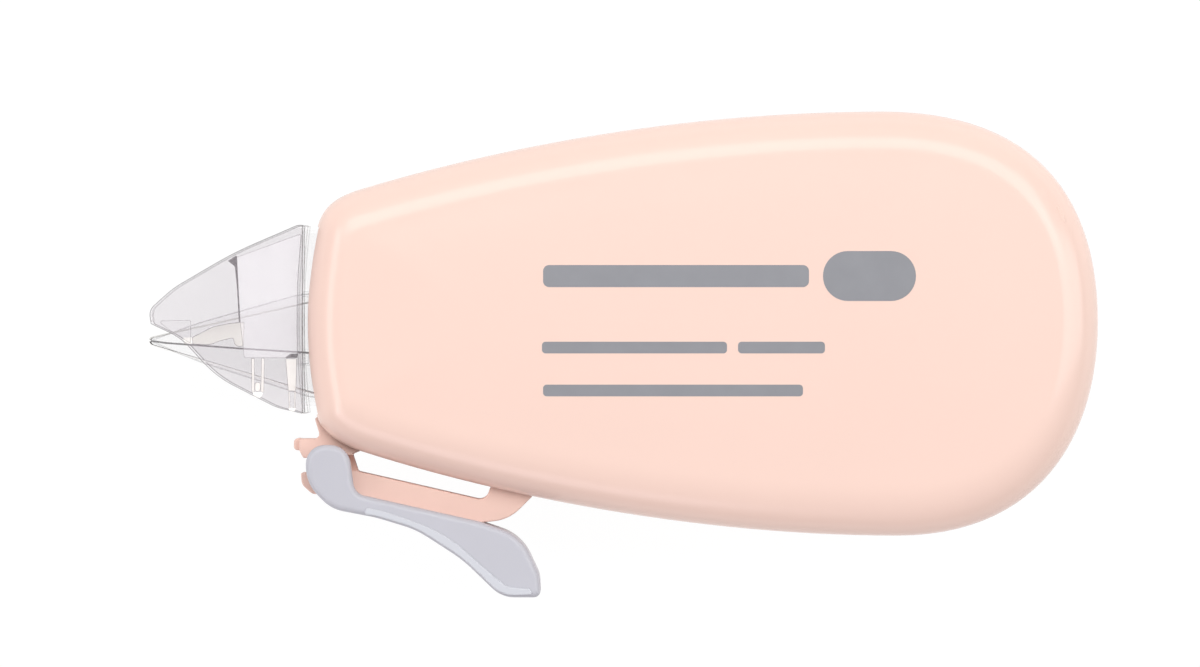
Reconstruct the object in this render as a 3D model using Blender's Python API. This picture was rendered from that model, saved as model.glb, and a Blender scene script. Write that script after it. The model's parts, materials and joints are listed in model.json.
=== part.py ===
"""Correction tape roller, lying on its rear face: X along the body, Y across it, Z through its thickness.

Two shells hold a geared pair of reels. Fresh tape runs from the supply reel round a peg to the tip of
the applicator head, and the used film goes back to the take-up reel. A swing cap turns on a pin in the
chassis fork. Lengths are in millimetres, and new_object turns them into metres.
"""

import math

import bmesh
import bpy
from mathutils import Vector

MM = 0.001

# Body
MID_Z = 7.5
HALF_DEPTH = 7.5
SEAM_GAP = 0.05
SEAM_CHAMFER = 0.15
ROLL_START = 3.7
FACE_INSET = 3.4
WALL = 1.2
BODY_STEPS = 10
ROLL_STEPS = 5

# Anchors of the body's outline, clockwise from the left end: x, y, direction in degrees, and how far
# the curve's handles reach ahead and behind.
BODY_OUTLINE = (
    (-26.16, 2.60, 90.0, 3.4, 3.5),
    (-25.30, 10.15, 78.5, 2.2, 0.9),
    (-21.59, 13.46, 16.8, 12.0, 1.7),
    (20.94, 19.77, 0.0, 12.0, 16.0),
    (38.54, 2.58, -90.0, 9.4, 10.7),
    (22.08, -14.91, 180.0, 14.4, 11.7),
    (-21.89, -7.94, 162.2, 1.4, 14.3),
    (-25.35, -4.96, 100.7, 1.8, 1.5),
)
# The same anchors where the flat face begins, FACE_INSET further in, and a little more along the bottom
FACE_OUTLINE = (
    (-22.70, 2.60, 90.0, 2.6, 2.8),
    (-22.10, 8.70, 76.0, 1.1, 0.8),
    (-20.50, 10.20, 17.0, 10.6, 1.0),
    (20.90, 16.37, 0.0, 10.0, 14.4),
    (35.14, 2.58, -90.0, 7.8, 8.8),
    (22.10, -10.40, 180.0, 12.8, 9.3),
    (-20.30, -4.10, 162.0, 0.9, 12.8),
    (-22.20, -3.20, 101.0, 1.2, 0.9),
)

# Reels and gears, from the back face up
SUPPLY_AT = (21.7, 2.6)
GEAR_MODULE = 0.5
PRESSURE_ANGLE = math.radians(20)
BACKLASH = 0.14
SUPPLY_TEETH = 50
IDLER_TEETH = 30
TAKEUP_TEETH = 20
IDLER_AT = (SUPPLY_AT[0] - GEAR_MODULE * (SUPPLY_TEETH + IDLER_TEETH) / 2, SUPPLY_AT[1])
TAKEUP_AT = (IDLER_AT[0] - GEAR_MODULE * (IDLER_TEETH + TAKEUP_TEETH) / 2, SUPPLY_AT[1])
GEAR_Z = (1.8, 3.2)
COVER_Z = (3.5, 4.1)
REAR_FLANGE_Z = (4.4, 4.8)
TAPE_Z = (5.0, 10.0)
FRONT_FLANGE_Z = (10.2, 10.6)
RUNNING = 0.06
CORE_GAP = 0.05
WASHER_GAP = 0.04
SUPPLY_POST_R = 1.9
SUPPLY_SLEEVE_R = 3.2
SUPPLY_CORE_R = 4.5
SUPPLY_FLANGE_R = 12.0
TAPE_ROLL_R = 11.0
TAKEUP_POST_R = 1.4
TAKEUP_SLEEVE_R = 2.4
TAKEUP_CORE_R = 4.1
TAKEUP_FLANGE_R = 7.0
FILM_ROLL_R = 4.7
IDLER_POST_R = 1.5

# Inside the shells: where the posts start, how high they reach, and the steps the gears sit on
FLOOR_Z = 1.0
SUPPLY_POST_TOP = 13.2
TAKEUP_POST_TOP = 12.6
IDLER_POST_TOP = 3.3
STEP_WIDTH = 0.6
STEP_TOP = GEAR_Z[0] - 0.1
SOCKET_Z = (9.2, 14.0)
SOCKET_WALL = 0.8
COVER_INSET = 2.2
COVER_END_X = -19.5
COVER_CLEARANCE = 0.2
SLEEVE_CLEARANCE = 0.3
SUPPLY_SLEEVE_TOP = 12.9
TAKEUP_SLEEVE_TOP = 11.9

# Friction clutch and snap caps: heights and radii
WASHER_R = 4.5
WASHER_Z = (10.8, 11.1)
SPRING_R = 3.8
SPRING_WIRE_R = 0.2
SPRING_Z = (11.15, 12.35)
SPRING_TURNS = 2.5
SUPPLY_RETAINER = ((4.6, 12.45), (4.6, 12.8), (4.0, 13.15))
TAKEUP_RETAINER = ((3.7, 10.9), (3.7, 11.4), (3.2, 11.8))

# Tape path
TAPE_THICKNESS = 0.1
PEG_AT = (-18.5, -4.0)
PEG_R = 1.2
PEG_TOP = 12.6
TAPE_CLEARANCE = 0.08
FILM_LEAVES_AT = math.radians(160)
TIP_AT = (-38.72, 0.98)
TIP_R = 0.22

# Pins that join the two shells
LOCATING_PINS = ((34.0, 10.6), (33.6, -5.6), (-17.5, 11.0), (4.0, -9.2), (2.0, 14.0))
LOCATING_PIN_R = 1.0
LOCATING_PIN_TOP = 12.0
HEAD_PIN_AT = (-21.5, 1.0)
HEAD_PIN_R = 0.8
HEAD_PIN_TOP = 11.6
PIN_CLEARANCE = 0.1

# Pieces at the front end, measured from the middle of the thickness
HEAD_CHANNEL = 2.6
HEAD_HALF = 3.1
GUARD_INNER = 3.6
GUARD_HALF = 4.4
GUARD_FLANGE_HALF = 4.7
NECK_HALF = 4.35
CHASSIS_HALF = 3.3
CAP_INNER = 4.7
CAP_HALF = 5.6

# Swing cap
HINGE_AT = (-24.51, -9.31)
HINGE_PIN_R = 0.8
SHOULDER_R = 1.3
SHOULDER_GAP = 0.15

# How far a tool passes the piece it cuts, and how far a joined piece reaches into its neighbour
PAST = 1.0
BITE = 0.1
MOUTH_CLEARANCE = 0.15

# Outlines of flat pieces: x, y and the radius that rounds the corner
CHASSIS_OUTLINE = (
    (-27.20, -7.00, 0.15),
    (-25.00, -7.00, 0.35),
    (-25.52, -5.25, 0.15),
    (-23.40, -4.95, 0.30),
    (-19.80, -5.50, 0.20),
    (-19.80, -6.30, 0.20),
    (-21.70, -6.30, 0.10),
    (-21.80, -8.00, 0.10),
    (-22.42, -8.25, 0.15),
    (-21.95, -9.66, 0.20),
    (-16.10, -11.00, 8.00),
    (-11.55, -12.05, 0.90),
    (-11.00, -10.60, 0.10),
    (-11.05, -9.40, 0.10),
    (-12.80, -8.35, 0.20),
    (-12.80, -7.60, 0.20),
    (-6.20, -9.20, 0.20),
    (-6.20, -9.95, 0.20),
    (-7.90, -10.10, 0.10),
    (-7.90, -11.95, 0.40),
    (-9.60, -13.60, 1.80),
    (-12.40, -13.62, 1.20),
    (-21.20, -11.52, 0.50),
    (-25.80, -11.55, 1.00),
    (-26.70, -10.00, 0.40),
    (-26.50, -9.76, 0.10),
    (-24.51, -9.76, 0.05),
    (-24.51, -8.60, 0.05),
    (-26.40, -8.60, 0.15),
    (-26.70, -8.05, 0.15),
    (-27.25, -7.95, 0.20),
)
CAP_OUTLINE = (
    (-26.28, -7.55, 1.75),
    (-22.76, -7.55, 1.75),
    (-22.76, -9.20, 2.00),
    (-21.90, -11.66, 0.50),
    (-11.93, -13.89, 3.00),
    (-8.60, -14.80, 3.50),
    (-6.90, -18.20, 2.50),
    (-7.05, -20.10, 0.60),
    (-10.40, -20.00, 2.50),
    (-12.83, -17.60, 9.00),
    (-17.00, -14.15, 7.00),
    (-23.60, -13.20, 2.20),
    (-25.90, -11.00, 4.00),
    (-26.30, -9.00, 1.70),
)
CAP_HOLLOW = (
    (-30.0, -5.0, 0.0),
    (-21.2, -5.0, 0.0),
    (-21.2, -12.60, 0.3),
    (-12.10, -14.70, 2.5),
    (-9.20, -15.50, 2.8),
    (-7.75, -18.30, 2.0),
    (-7.90, -22.0, 0.0),
    (-30.0, -22.0, 0.0),
)
GUARD_OUTLINE = (
    (-39.15, 2.55, 0.30),
    (-38.75, 3.85, 2.00),
    (-32.20, 8.05, 30.00),
    (-27.10, 10.48, 3.00),
    (-26.55, 10.30, 0.20),
    (-26.55, -4.80, 0.20),
    (-28.60, -4.50, 5.00),
    (-33.50, -1.90, 9.00),
    (-36.70, 1.15, 4.00),
)
GUARD_HOLLOW = (
    (-40.00, 0.00, 0.0),
    (-38.35, 3.10, 0.6),
    (-32.00, 7.35, 20.0),
    (-26.90, 9.60, 3.0),
    (-20.00, 9.60, 0.0),
    (-20.00, -6.00, 0.0),
    (-30.00, -9.00, 0.0),
)
GUARD_NECK = ((-26.75, -4.30), (-23.00, 10.10))
FLANGE_BULGE_X = -26.97
FLANGE_THICKNESS = 0.45
FLANGE_Y = (-4.95, 10.50)
FLANGE_BULGE_R = 60.0
NECK_OPENING = ((-30.0, -5.0), (-22.4, 10.35))
ROOT_OPENINGS = (((-27.0, -9.5), (-21.5, -4.4)), ((-11.2, -14.0), (-7.7, -9.0)))
HEAD_OUTLINE = (
    (-38.60, 1.25, 0.10),
    (-35.45, 2.25, 10.0),
    (-26.50, 4.95, 10.0),
    (-24.00, 4.90, 1.0),
    (-20.30, 3.20, 0.6),
    (-20.30, -1.40, 0.6),
    (-23.60, -3.70, 0.6),
    (-26.00, -3.50, 3.0),
    (-35.20, -0.48, 10.0),
    (-38.60, 0.72, 0.10),
)
WEB_OUTLINE = (
    (-38.90, 1.14, 0.12),
    (-37.60, 1.10, 2.0),
    (-26.50, 0.35, 10.0),
    (-23.60, 0.30, 0.1),
    (-23.60, -0.30, 0.1),
    (-26.50, -0.25, 10.0),
    (-37.60, 0.55, 2.0),
    (-38.90, 0.80, 0.12),
)


def srgb(red, green, blue):
    """Linear colour of an 8-bit sRGB one."""

    def linear(value):
        value /= 255
        return value / 12.92 if value <= 0.04045 else ((value + 0.055) / 1.055) ** 2.4

    return linear(red), linear(green), linear(blue), 1.0


def material(name, colour, roughness, metallic=0.0, alpha=1.0):
    made = bpy.data.materials.new(name)
    made.use_nodes = True
    made.diffuse_color = colour
    shader = made.node_tree.nodes["Principled BSDF"]
    shader.inputs["Base Color"].default_value = colour
    shader.inputs["Roughness"].default_value = roughness
    shader.inputs["Metallic"].default_value = metallic
    shader.inputs["Alpha"].default_value = alpha
    return made


# Outlines


def arc(centre, radius, start, end, steps):
    """Points along a circle, with the angles in radians."""
    return [
        (centre[0] + radius * math.cos(a), centre[1] + radius * math.sin(a))
        for a in (start + (end - start) * i / steps for i in range(steps + 1))
    ]


def circle(centre, radius, steps=32):
    return arc(centre, radius, 0, 2 * math.pi, steps)[:-1]


def rectangle(low, high):
    return [(low[0], low[1]), (high[0], low[1]), (high[0], high[1]), (low[0], high[1])]


def rounded(corners, steps=5):
    """The polygon through the corners (x, y, radius), each rounded by a curve that fits its sides."""
    loop = []
    for i, (x, y, radius) in enumerate(corners):
        here = Vector((x, y))
        back = Vector(corners[i - 1][:2]) - here
        ahead = Vector(corners[(i + 1) % len(corners)][:2]) - here
        half = back.angle(ahead) / 2
        reach = min(radius / math.tan(half), 0.49 * min(back.length, ahead.length))
        if reach < 1e-3:
            loop.append((x, y))
            continue
        start = here + back.normalized() * reach
        end = here + ahead.normalized() * reach
        for step in range(steps + 1):
            t = step / steps
            point = start * (1 - t) ** 2 + here * 2 * t * (1 - t) + end * t**2
            loop.append(tuple(point))
    return loop


def spline(anchors, steps):
    """A closed smooth curve through anchors of (x, y, direction, reach ahead, reach behind)."""
    loop = []
    for i, (x, y, direction, ahead, _) in enumerate(anchors):
        next_x, next_y, next_direction, _, behind = anchors[(i + 1) % len(anchors)]
        start = Vector((x, y))
        end = Vector((next_x, next_y))
        out = start + ahead * Vector((math.cos(math.radians(direction)), math.sin(math.radians(direction))))
        turn = math.radians(next_direction)
        back = end - behind * Vector((math.cos(turn), math.sin(turn)))
        for step in range(steps):
            t = step / steps
            point = start * (1 - t) ** 3 + out * 3 * t * (1 - t) ** 2 + back * 3 * t**2 * (1 - t) + end * t**3
            loop.append(tuple(point))
    return loop


def body_loop(inset):
    """The body's outline, moved in by about this much."""
    share = inset / FACE_INSET
    outer = spline(BODY_OUTLINE, BODY_STEPS)
    inner = spline(FACE_OUTLINE, BODY_STEPS)
    return [
        (a[0] + (b[0] - a[0]) * share, a[1] + (b[1] - a[1]) * share)
        for a, b in zip(outer, inner)
    ]


def gear_loop(teeth, phase):
    """A spur gear's outline with involute flanks, cut a little thin so that it runs freely."""
    pitch = GEAR_MODULE * teeth / 2
    base = pitch * math.cos(PRESSURE_ANGLE)
    root = pitch - 1.25 * GEAR_MODULE
    tip = pitch + 0.9 * GEAR_MODULE

    def involute(radius):
        angle = math.acos(min(1, base / radius))
        return math.tan(angle) - angle

    def half_width(radius):
        at_pitch = (math.pi * GEAR_MODULE / 2 - BACKLASH) / 2 / pitch
        return at_pitch + involute(pitch) - involute(radius)

    flank = (root, pitch, tip)
    loop = []
    for tooth in range(teeth):
        middle = phase + 2 * math.pi * tooth / teeth
        rising = [(r, middle - half_width(r)) for r in flank]
        falling = [(r, middle + half_width(r)) for r in reversed(flank)]
        loop += [(r * math.cos(a), r * math.sin(a)) for r, a in rising + falling]
    return loop


def belt(circles, end_angle=None, start_angle=None, outward=0.0):
    """A line that runs round the outside of each (centre, radius), keeping every circle on its right."""
    normals = []
    for (a, ra), (b, rb) in zip(circles, circles[1:]):
        across = Vector(b) - Vector(a)
        tilt = math.acos((ra - rb) / across.length)
        normals.append(math.atan2(across.y, across.x) + tilt)
    normals.insert(0, normals[0] if start_angle is None else start_angle)
    normals.append(normals[-1] if end_angle is None else end_angle)
    line = []
    for (centre, radius), first, last in zip(circles, normals, normals[1:]):
        turn = (first - last) % (2 * math.pi)
        steps = max(1, math.ceil(turn / math.radians(15)))
        bend = arc(centre, radius + outward, first, first - turn, steps)
        line += bend if turn > 1e-6 else bend[:1]
    return line


# Solids


def new_object(name, vertices, faces, look, at=(0, 0)):
    mesh = bpy.data.meshes.new(name)
    mesh.from_pydata([[MM * c for c in v] for v in vertices], [], faces)
    built = bmesh.new()
    built.from_mesh(mesh)
    bmesh.ops.recalc_face_normals(built, faces=built.faces)
    built.to_mesh(mesh)
    built.free()
    made = bpy.data.objects.new(name, mesh)
    made.location = (MM * at[0], MM * at[1], 0)
    bpy.context.collection.objects.link(made)
    if look:
        mesh.materials.append(look)
    mesh.shade_smooth()
    mesh.set_sharp_from_angle(angle=math.radians(32))
    return made


def prism(name, loop, z, look=None, at=(0, 0)):
    """A flat piece: the loop, in the object's own x and y, from one height to the other."""
    count = len(loop)
    vertices = [(x, y, height) for height in z for x, y in loop]
    sides = [(i, (i + 1) % count, (i + 1) % count + count, i + count) for i in range(count)]
    ends = [tuple(range(count)), tuple(range(count, 2 * count))]
    return new_object(name, vertices, sides + ends, look, at)


def turned(name, profile, look=None, at=(0, 0), steps=48):
    """A ring: the closed profile of (radius, z) swept round Z."""
    count = len(profile)
    vertices = []
    for step in range(steps):
        a = 2 * math.pi * step / steps
        vertices += [(r * math.cos(a), r * math.sin(a), z) for r, z in profile]
    faces = []
    for step in range(steps):
        here = step * count
        there = (step + 1) % steps * count
        faces += [
            (here + i, here + (i + 1) % count, there + (i + 1) % count, there + i)
            for i in range(count)
        ]
    return new_object(name, vertices, faces, look, at)


def ring(name, inner, outer, z, look=None, at=(0, 0), steps=48):
    return turned(name, [(inner, z[0]), (outer, z[0]), (outer, z[1]), (inner, z[1])], look, at, steps)


def helix_wire(name, radius, wire, z, turns, look, at):
    """A coil spring, wound round Z."""
    around, sides = 16, 6
    steps = int(turns * around)
    vertices = []
    for step in range(steps + 1):
        a = 2 * math.pi * step / around
        height = z[0] + wire + (z[1] - z[0] - 2 * wire) * step / steps
        for side in range(sides):
            b = 2 * math.pi * side / sides
            r = radius + wire * math.cos(b)
            vertices.append((r * math.cos(a), r * math.sin(a), height + wire * math.sin(b)))
    faces = [tuple(range(sides)), tuple(range(steps * sides, (steps + 1) * sides))]
    for step in range(steps):
        for side in range(sides):
            after = (side + 1) % sides
            here = step * sides
            faces.append((here + side, here + after, here + sides + after, here + sides + side))
    return new_object(name, vertices, faces, look, at)


def combine(target, tool, operation):
    modifier = target.modifiers.new(tool.name, "BOOLEAN")
    modifier.operation = operation
    modifier.object = tool
    modifier.solver = "EXACT"
    tool.hide_render = True
    tool.display_type = "WIRE"


def cut(target, tool):
    combine(target, tool, "DIFFERENCE")


def join(target, tool):
    combine(target, tool, "UNION")


def around_middle(half, extra=0.0):
    """The heights of a piece that reaches this far on both sides of the middle of the thickness."""
    return MID_Z - half - extra, MID_Z + half + extra


# Pieces


def shell(name, side, look):
    """Half of the body: a hollow cup whose rim rolls over into the flat face. side is 1 in front."""
    roll = HALF_DEPTH - ROLL_START
    outer = [(SEAM_GAP, SEAM_CHAMFER), (SEAM_GAP + SEAM_CHAMFER, 0.0)]
    inner = [(SEAM_GAP, WALL)]
    for step in range(ROLL_STEPS + 1):
        a = math.pi / 2 * step / ROLL_STEPS
        outer.append((ROLL_START + roll * math.sin(a), FACE_INSET * (1 - math.cos(a))))
        within = (FACE_INSET - WALL) * (1 - math.cos(a))
        inner.append((ROLL_START + (roll - WALL) * math.sin(a), WALL + within))
    rings = inner[::-1] + outer
    vertices = [
        (x, y, MID_Z + side * depth) for depth, inset in rings for x, y in body_loop(inset)
    ]
    count = len(BODY_OUTLINE) * BODY_STEPS
    faces = [tuple(range(count)), tuple(range(len(vertices) - count, len(vertices)))]
    for level in range(len(rings) - 1):
        low = level * count
        faces += [
            (low + i, low + (i + 1) % count, low + count + (i + 1) % count, low + count + i)
            for i in range(count)
        ]
    return new_object(name, vertices, faces, look)


def cut_mouths(target):
    """The openings that let the guard's neck and the chassis through the shell wall."""
    cut(target, NECK_CUTTER)
    for cutter in ROOT_CUTTERS:
        cut(target, cutter)


def front_shell():
    made = shell("front_shell", 1, GLOSSY_PINK)
    inner = LOCATING_PIN_R + PIN_CLEARANCE
    for i, at in enumerate(LOCATING_PINS):
        join(made, ring(f"socket_{i}", inner, inner + SOCKET_WALL, SOCKET_Z, None, at, 24))
    cut_mouths(made)


def rear_shell():
    made = shell("rear_shell", -1, GLOSSY_PINK)
    gear_posts = [
        (SUPPLY_AT, SUPPLY_POST_R, SUPPLY_POST_TOP),
        (TAKEUP_AT, TAKEUP_POST_R, TAKEUP_POST_TOP),
        (IDLER_AT, IDLER_POST_R, IDLER_POST_TOP),
    ]
    plain_posts = [(PEG_AT, PEG_R, PEG_TOP), (HEAD_PIN_AT, HEAD_PIN_R, HEAD_PIN_TOP)]
    plain_posts += [(at, LOCATING_PIN_R, LOCATING_PIN_TOP) for at in LOCATING_PINS]
    for i, (at, radius, top) in enumerate(gear_posts + plain_posts):
        join(made, prism(f"post_{i}", circle((0, 0), radius), (FLOOR_Z, top), None, at))
    for i, (at, radius, _) in enumerate(gear_posts):
        join(made, prism(f"step_{i}", circle((0, 0), radius + STEP_WIDTH), (FLOOR_Z, STEP_TOP), None, at))
    cut_mouths(made)


def chassis_frame():
    made = prism("chassis_frame", rounded(CHASSIS_OUTLINE), around_middle(CHASSIS_HALF), MATTE_PINK)
    seat = circle((0, 0), HINGE_PIN_R + RUNNING, 24)
    cut(made, prism("pin_seat", seat, around_middle(CHASSIS_HALF, PAST), None, HINGE_AT))


def gear_cover():
    made = prism("gear_cover", body_loop(COVER_INSET), COVER_Z, GREY_PLASTIC)
    through = (COVER_Z[0] - PAST, COVER_Z[1] + PAST)
    cut(made, prism("cover_end", rectangle((-30, -20), (COVER_END_X, 20)), through))
    holes = [
        (SUPPLY_AT, SUPPLY_SLEEVE_R + SLEEVE_CLEARANCE),
        (TAKEUP_AT, TAKEUP_SLEEVE_R + SLEEVE_CLEARANCE),
        (PEG_AT, PEG_R + COVER_CLEARANCE),
    ]
    holes += [(at, LOCATING_PIN_R + COVER_CLEARANCE) for at in LOCATING_PINS]
    for i, (at, radius) in enumerate(holes):
        cut(made, prism(f"cover_hole_{i}", circle((0, 0), radius, 36), through, None, at))


def gear(name, teeth, phase, at, bore, look):
    """A gear, and the cutter for its bore, which is long enough for a sleeve too."""
    made = prism(name, gear_loop(teeth, phase), GEAR_Z, look, at)
    hole = prism(f"{name}_bore", circle((0, 0), bore, 48), (GEAR_Z[0] - PAST, 2 * HALF_DEPTH), None, at)
    return made, hole


def hub_gear(name, teeth, phase, at, bore, sleeve, top, look):
    """A gear with a sleeve that carries its reel."""
    made, hole = gear(name, teeth, phase, at, bore, look)
    join(made, prism(f"{name}_sleeve", circle((0, 0), sleeve, 48), (GEAR_Z[0] + BITE, top), None, at))
    cut(made, hole)


def spool(name, bore, core, flange, look, at):
    """A reel's core with its rear flange."""
    top = FRONT_FLANGE_Z[1] + BITE
    low, high = REAR_FLANGE_Z
    profile = [(bore, low), (flange, low), (flange, high), (core, high), (core, top), (bore, top)]
    turned(name, profile, look, at)


def retainer(name, bore, profile, at):
    """A snap cap that holds the stack down on its post."""
    turned(name, [(bore, profile[0][1]), *profile, (bore, profile[-1][1])], WHITE_NYLON, at)


def supply_reel():
    bore = SUPPLY_SLEEVE_R + RUNNING
    post = SUPPLY_POST_R + RUNNING
    hub_gear("supply_gear", SUPPLY_TEETH, 0, SUPPLY_AT, post, SUPPLY_SLEEVE_R, SUPPLY_SLEEVE_TOP, WHITE_NYLON)
    spool("supply_spool", bore, SUPPLY_CORE_R, SUPPLY_FLANGE_R, CLEAR_GREY, SUPPLY_AT)
    on_core = SUPPLY_CORE_R + CORE_GAP
    ring("supply_flange", on_core, SUPPLY_FLANGE_R, FRONT_FLANGE_Z, CLEAR_GREY, SUPPLY_AT)
    ring("tape_roll", on_core, TAPE_ROLL_R, TAPE_Z, TAPE_WHITE, SUPPLY_AT, 64)
    ring("clutch_washer", bore + WASHER_GAP, WASHER_R, WASHER_Z, STEEL, SUPPLY_AT)
    helix_wire("clutch_spring", SPRING_R, SPRING_WIRE_R, SPRING_Z, SPRING_TURNS, STEEL, SUPPLY_AT)
    retainer("supply_retainer", bore, SUPPLY_RETAINER, SUPPLY_AT)


def takeup_reel():
    bore = TAKEUP_SLEEVE_R + RUNNING
    post = TAKEUP_POST_R + RUNNING
    hub_gear("takeup_gear", TAKEUP_TEETH, 0, TAKEUP_AT, post, TAKEUP_SLEEVE_R, TAKEUP_SLEEVE_TOP, WHITE_NYLON)
    spool("takeup_spool", bore, TAKEUP_CORE_R, TAKEUP_FLANGE_R, CLEAR_GREY, TAKEUP_AT)
    on_core = TAKEUP_CORE_R + CORE_GAP
    ring("takeup_flange", on_core, TAKEUP_FLANGE_R, FRONT_FLANGE_Z, CLEAR_GREY, TAKEUP_AT)
    ring("film_roll", on_core, FILM_ROLL_R, TAPE_Z, FILM_CLEAR, TAKEUP_AT)
    retainer("takeup_retainer", bore, TAKEUP_RETAINER, TAKEUP_AT)


def idler_gear():
    phase = math.pi / IDLER_TEETH
    made, hole = gear("idler_gear", IDLER_TEETH, phase, IDLER_AT, IDLER_POST_R + RUNNING, WHITE_NYLON)
    cut(made, hole)


def ribbon(name, circles, look, **ends):
    near = belt(circles, **ends)
    far = belt(circles, outward=TAPE_THICKNESS, **ends)
    prism(name, near + far[::-1], TAPE_Z, look)


def tape_runs():
    """The fresh tape on its way to the tip, and the film on its way back."""
    tip = (TIP_AT, TIP_R + TAPE_CLEARANCE)
    peg = (PEG_AT, PEG_R + TAPE_CLEARANCE)
    supply = (SUPPLY_AT, TAPE_ROLL_R + TAPE_CLEARANCE)
    takeup = (TAKEUP_AT, FILM_ROLL_R + TAPE_CLEARANCE)
    ribbon("tape_feed", [supply, peg, tip], TAPE_WHITE, end_angle=math.pi)
    ribbon("film_return", [tip, takeup], FILM_CLEAR, start_angle=FILM_LEAVES_AT)


def applicator_head():
    made = prism("applicator_head", rounded(HEAD_OUTLINE), around_middle(HEAD_HALF), CLEAR_PLASTIC)
    cut(made, prism("head_channel", rectangle((-45, -10), (-10, 10)), around_middle(HEAD_CHANNEL)))
    join(made, prism("head_web", rounded(WEB_OUTLINE), around_middle(HEAD_CHANNEL, BITE)))
    hole = circle((0, 0), HEAD_PIN_R + PIN_CLEARANCE, 24)
    cut(made, prism("head_pin_hole", hole, around_middle(HEAD_HALF, PAST), None, HEAD_PIN_AT))


def head_guard():
    made = prism("head_guard", rounded(GUARD_OUTLINE), around_middle(GUARD_HALF), CLEAR_PLASTIC)
    low, high = FLANGE_Y
    rise = math.asin((high - low) / 2 / FLANGE_BULGE_R)
    centre = (FLANGE_BULGE_X + FLANGE_BULGE_R, (high + low) / 2)
    front = arc(centre, FLANGE_BULGE_R, math.pi + rise, math.pi - rise, 8)
    back = arc(centre, FLANGE_BULGE_R - FLANGE_THICKNESS, math.pi - rise, math.pi + rise, 8)
    join(made, prism("guard_flange", front + back, around_middle(GUARD_FLANGE_HALF)))
    join(made, prism("guard_neck", rectangle(*GUARD_NECK), around_middle(NECK_HALF)))
    cut(made, prism("guard_hollow", rounded(GUARD_HOLLOW), around_middle(GUARD_INNER)))


def tip_cap():
    """The cap turns on HINGE_AT, so its outlines are moved to be about that point."""

    def about_hinge(corners):
        return rounded([(x - HINGE_AT[0], y - HINGE_AT[1], radius) for x, y, radius in corners], 7)

    made = prism("tip_cap", about_hinge(CAP_OUTLINE), around_middle(CAP_HALF), SMOKY_PLASTIC, HINGE_AT)
    cut(made, prism("cap_hollow", about_hinge(CAP_HOLLOW), around_middle(CAP_INNER), None, HINGE_AT))
    pin = circle((0, 0), HINGE_PIN_R, 24)
    join(made, prism("cap_pin", pin, around_middle(CAP_INNER, BITE), None, HINGE_AT))
    for side in (-1, 1):
        reach = sorted((MID_Z + side * (CHASSIS_HALF + SHOULDER_GAP), MID_Z + side * (CAP_INNER + BITE)))
        shoulder = circle((0, 0), SHOULDER_R, 24)
        join(made, prism(f"cap_shoulder_{side}", shoulder, reach, None, HINGE_AT))


for old in list(bpy.data.objects):
    bpy.data.objects.remove(old)

GLOSSY_PINK = material("glossy_pink_plastic", srgb(252, 222, 209), 0.22)
MATTE_PINK = material("matte_pink_plastic", srgb(244, 206, 194), 0.5)
CLEAR_PLASTIC = material("clear_plastic", srgb(232, 228, 230), 0.08, alpha=0.35)
SMOKY_PLASTIC = material("smoky_grey_plastic", srgb(204, 203, 209), 0.35)
CLEAR_GREY = material("reel_plastic", srgb(222, 224, 228), 0.3)
GREY_PLASTIC = material("grey_plastic", srgb(190, 192, 196), 0.45)
WHITE_NYLON = material("white_nylon", srgb(238, 238, 234), 0.4)
TAPE_WHITE = material("tape_white", srgb(250, 250, 248), 0.6)
FILM_CLEAR = material("release_film", srgb(226, 226, 222), 0.25)
STEEL = material("spring_steel", srgb(190, 192, 196), 0.25, metallic=1.0)

NECK_CUTTER = prism("neck_cutter", rectangle(*NECK_OPENING), around_middle(GUARD_HALF, MOUTH_CLEARANCE))
ROOT_CUTTERS = [
    prism(f"root_cutter_{i}", rectangle(*opening), around_middle(CHASSIS_HALF, MOUTH_CLEARANCE))
    for i, opening in enumerate(ROOT_OPENINGS)
]

front_shell()
rear_shell()
chassis_frame()
gear_cover()
supply_reel()
takeup_reel()
idler_gear()
tape_runs()
applicator_head()
head_guard()
tip_cap()
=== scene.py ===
"""Looks of the correction tape roller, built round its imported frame.

The body lies on its rear face, X along it and Y across it, and the camera looks straight down on its front.
Lengths are in millimetres.
"""

import json
import math

import bpy
import bmesh
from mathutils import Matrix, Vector


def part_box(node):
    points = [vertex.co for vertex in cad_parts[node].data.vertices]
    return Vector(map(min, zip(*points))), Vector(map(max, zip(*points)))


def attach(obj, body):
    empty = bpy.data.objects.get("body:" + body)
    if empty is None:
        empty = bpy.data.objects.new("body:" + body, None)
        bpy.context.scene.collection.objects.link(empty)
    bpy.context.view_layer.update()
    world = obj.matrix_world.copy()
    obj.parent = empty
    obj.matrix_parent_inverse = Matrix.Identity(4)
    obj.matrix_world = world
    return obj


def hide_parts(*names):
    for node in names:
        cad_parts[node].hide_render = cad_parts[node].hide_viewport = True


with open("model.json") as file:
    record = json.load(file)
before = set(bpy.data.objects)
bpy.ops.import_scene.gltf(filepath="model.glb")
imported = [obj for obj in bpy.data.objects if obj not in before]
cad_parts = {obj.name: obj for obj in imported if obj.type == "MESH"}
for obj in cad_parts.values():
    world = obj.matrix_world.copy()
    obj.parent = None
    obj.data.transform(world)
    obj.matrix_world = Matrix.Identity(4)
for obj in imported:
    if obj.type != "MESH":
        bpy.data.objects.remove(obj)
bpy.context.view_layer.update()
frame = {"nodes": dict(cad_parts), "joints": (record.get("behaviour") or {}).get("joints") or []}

MM = 0.001
SHARP_ANGLE = 32
NODES = frame["nodes"]
JOINTS = {joint["name"]: joint for joint in frame["joints"]}


def centre_of(node):
    low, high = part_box(node)
    return (low.x + high.x) / 2 / MM, (low.y + high.y) / 2 / MM


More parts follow.
